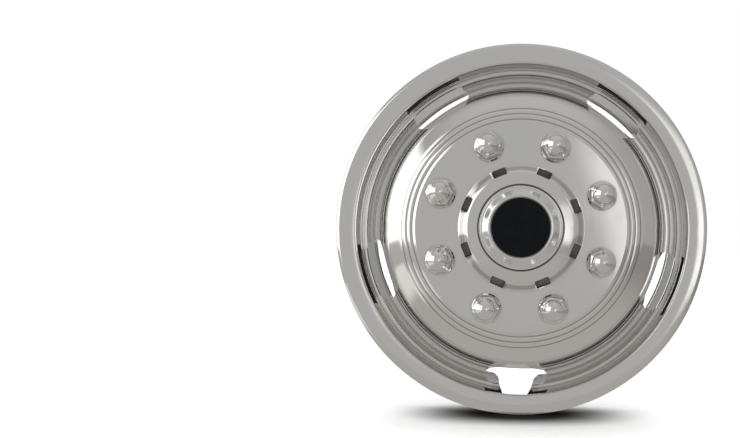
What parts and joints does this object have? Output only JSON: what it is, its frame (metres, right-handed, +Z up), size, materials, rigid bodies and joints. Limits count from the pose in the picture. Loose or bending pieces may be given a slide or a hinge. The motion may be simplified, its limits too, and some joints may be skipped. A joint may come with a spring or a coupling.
{
  "type": "truck wheel simulator",
  "caption": "Front wheel simulator for a dual-wheel truck: a polished stainless liner with hand holes and a valve notch, acorn lug covers and a hub cap with a bare black emblem disc",
  "frame": {"origin": "on the wheel axis, in the plane of the rear ends of the lug covers' necks, where the nuts of the wheel come in", "axes": "the face looks along -Y, +Z is up with the valve notch at the bottom, +X is to the right of someone who looks at the face"},
  "size_m": [0.4729, 0.1492, 0.473],
  "materials": {
    "polished_steel": "mirror polished stainless steel",
    "spring_steel": "plain spring steel",
    "dark_steel": "dark satin coating",
    "black_enamel": "gloss black"
  },
  "bodies": {
    "root": {"liner": "polished_steel", "lug_cover_1": "polished_steel", "lug_cover_2": "polished_steel", "lug_cover_3": "polished_steel", "lug_cover_4": "polished_steel", "lug_cover_5": "polished_steel", "lug_cover_6": "polished_steel", "lug_cover_7": "polished_steel", "lug_cover_8": "polished_steel", "lug_retainer_1": "spring_steel", "lug_retainer_2": "spring_steel", "lug_retainer_3": "spring_steel", "lug_retainer_4": "spring_steel", "lug_retainer_5": "spring_steel", "lug_retainer_6": "spring_steel", "lug_retainer_7": "spring_steel", "lug_retainer_8": "spring_steel", "hub_backing_ring": "dark_steel", "hub_cap": "polished_steel", "cap_spring_ring": "spring_steel", "emblem_disc": "black_enamel"}
  },
  "joints": []
}
